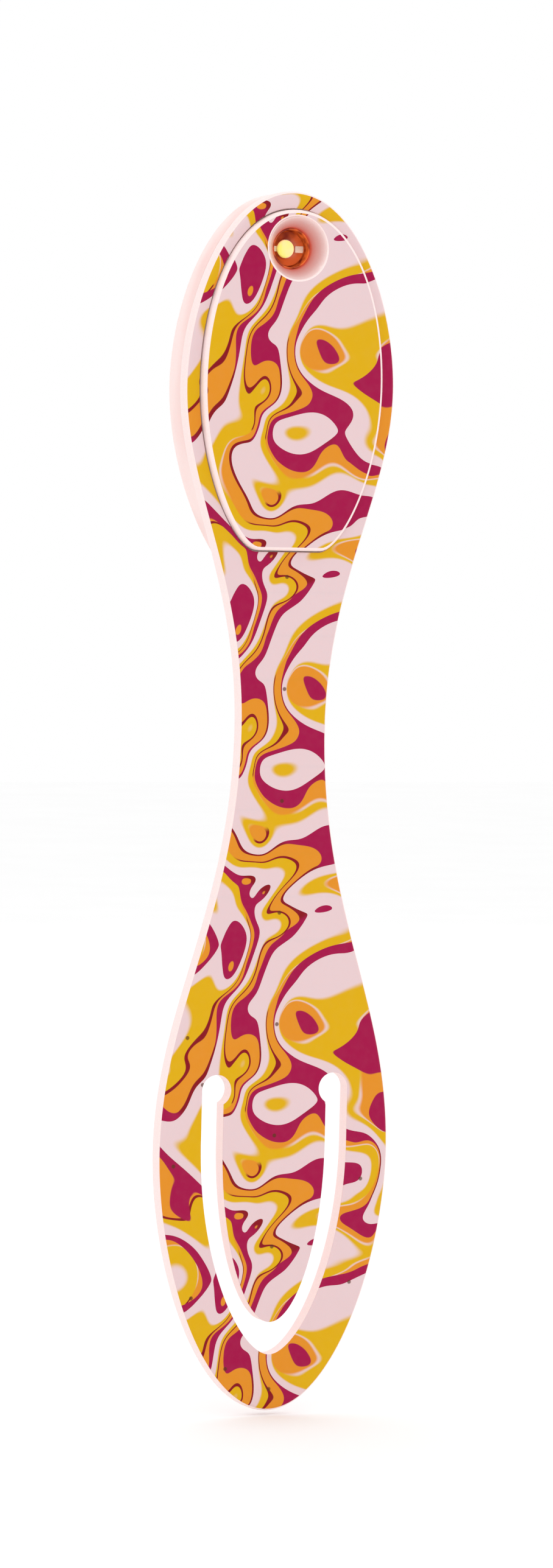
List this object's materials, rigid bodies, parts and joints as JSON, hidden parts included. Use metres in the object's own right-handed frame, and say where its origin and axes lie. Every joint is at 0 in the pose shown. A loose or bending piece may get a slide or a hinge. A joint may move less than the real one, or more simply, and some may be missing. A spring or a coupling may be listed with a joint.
{
  "type": "clip-on bookmark reading light",
  "caption": "Flat printed clip-on reading light: leaf-shaped page clip with a sprung tongue, flexible neck, and an oval head whose press cap holds one LED in a round recess.",
  "frame": {"origin": "throat of the page clip, midway between the two round ends of the slot, on the middle plane of the strap", "axes": "+Z from the clip up to the head, front printed face towards -Y, rear shell towards +Y, +X to the viewer's right"},
  "size_m": [0.033, 0.0092, 0.16],
  "materials": {
    "printed_strap": "swirl print under a satin lacquer",
    "printed_cap": "swirl print under a gloss lacquer",
    "shell_plastic": "pale pink moulded plastic",
    "spring_steel": "hardened strip",
    "dead_soft_strip": "annealed strip",
    "cell_can": "plated steel can",
    "contact_metal": "plated spring bronze",
    "board": "green solder mask",
    "switch_case": "black moulding",
    "plunger_plastic": "red moulding",
    "led_clear": "clear cast epoxy",
    "lead_metal": "tinned lead",
    "phosphor": "phosphor, lit",
    "resistor_body": "chip resistor",
    "screw_steel": "zinc plated"
  },
  "bodies": {
    "clip": {"clip_frame": "printed_strap", "frame_stiffener": "spring_steel", "neck_core_1": "dead_soft_strip"},
    "tongue": {"clip_tongue": "printed_strap", "tongue_stiffener": "spring_steel"},
    "neck_1": {"neck_link_1": "printed_strap", "neck_core_2": "dead_soft_strip"},
    "neck_2": {"neck_link_2": "printed_strap", "neck_core_3": "dead_soft_strip"},
    "neck_3": {"neck_link_3": "printed_strap", "neck_core_4": "dead_soft_strip"},
    "neck_4": {"neck_link_4": "printed_strap", "neck_core_5": "dead_soft_strip"},
    "neck_5": {"neck_link_5": "printed_strap", "neck_core_6": "dead_soft_strip"},
    "neck_6": {"neck_link_6": "printed_strap", "neck_core_7": "dead_soft_strip"},
    "neck_7": {"neck_link_7": "printed_strap", "neck_core_8": "dead_soft_strip"},
    "head": {"head_bezel": "printed_strap", "neck_core_9": "dead_soft_strip", "rear_shell": "shell_plastic", "shell_screws": "screw_steel", "coin_cell_front": "cell_can", "coin_cell_rear": "cell_can", "contact_positive": "contact_metal", "contact_negative": "contact_metal", "circuit_board": "board", "switch_body": "switch_case", "led_lens": "led_clear", "led_leadframe": "lead_metal", "led_phosphor": "phosphor", "led_resistor": "resistor_body"},
    "cap": {"press_cap": "printed_cap"},
    "plunger": {"switch_plunger": "plunger_plastic"},
    "door": {"battery_door": "shell_plastic", "door_screw": "screw_steel"}
  },
  "joints": [
    {"name": "neck_bend", "type": "hinge", "parent": "clip", "child": "neck_1", "pos_m": [0, 0, 0.023], "axis": [1, 0, 0], "range_deg": [-5.5, 18.5]},
    {"name": "neck_bend_2", "type": "hinge", "parent": "neck_1", "child": "neck_2", "pos_m": [0, 0, 0.0287], "axis": [1, 0, 0], "range_deg": [-5.5, 18.5]},
    {"name": "neck_bend_3", "type": "hinge", "parent": "neck_2", "child": "neck_3", "pos_m": [0, 0, 0.0344], "axis": [1, 0, 0], "range_deg": [-5.5, 18.5]},
    {"name": "neck_bend_4", "type": "hinge", "parent": "neck_3", "child": "neck_4", "pos_m": [0, 0, 0.0401], "axis": [1, 0, 0], "range_deg": [-5.5, 18.5]},
    {"name": "neck_bend_5", "type": "hinge", "parent": "neck_4", "child": "neck_5", "pos_m": [0, 0, 0.0458], "axis": [1, 0, 0], "range_deg": [-5.5, 18.5]},
    {"name": "neck_bend_6", "type": "hinge", "parent": "neck_5", "child": "neck_6", "pos_m": [0, 0, 0.0515], "axis": [1, 0, 0], "range_deg": [-5.5, 18.5]},
    {"name": "neck_bend_7", "type": "hinge", "parent": "neck_6", "child": "neck_7", "pos_m": [0, 0, 0.0572], "axis": [1, 0, 0], "range_deg": [-5.5, 18.5]},
    {"name": "neck_bend_8", "type": "hinge", "parent": "neck_7", "child": "head", "pos_m": [0, 0, 0.0629], "axis": [1, 0, 0], "range_deg": [-5.5, 18.5]},
    {"name": "tongue_flex", "type": "hinge", "parent": "clip", "child": "tongue", "pos_m": [0, 0, 0.0015], "axis": [1, 0, 0], "range_deg": [-15, 15], "stiffness_Nm_per_rad": 0.05},
    {"name": "cap_press", "type": "slide", "parent": "head", "child": "cap", "axis": [0, 1, 0], "range_m": [0, 0.0004], "stiffness_N_per_m": 2500, "springref_m": -0.0002},
    {"name": "plunger_travel", "type": "slide", "parent": "head", "child": "plunger", "axis": [0, 1, 0], "range_m": [0, 0.0004]},
    {"name": "door_lift", "type": "slide", "parent": "head", "child": "door", "axis": [0, 1, 0], "range_m": [0, 0.015]}
  ],
  "couplings": [
    {"joint": "neck_bend_2", "follows": "neck_bend", "ratio": 1},
    {"joint": "neck_bend_3", "follows": "neck_bend", "ratio": 1},
    {"joint": "neck_bend_4", "follows": "neck_bend", "ratio": 1},
    {"joint": "neck_bend_5", "follows": "neck_bend", "ratio": 1},
    {"joint": "neck_bend_6", "follows": "neck_bend", "ratio": 1},
    {"joint": "neck_bend_7", "follows": "neck_bend", "ratio": 1},
    {"joint": "neck_bend_8", "follows": "neck_bend", "ratio": 1},
    {"joint": "plunger_travel", "follows": "cap_press", "ratio": 1}
  ]
}
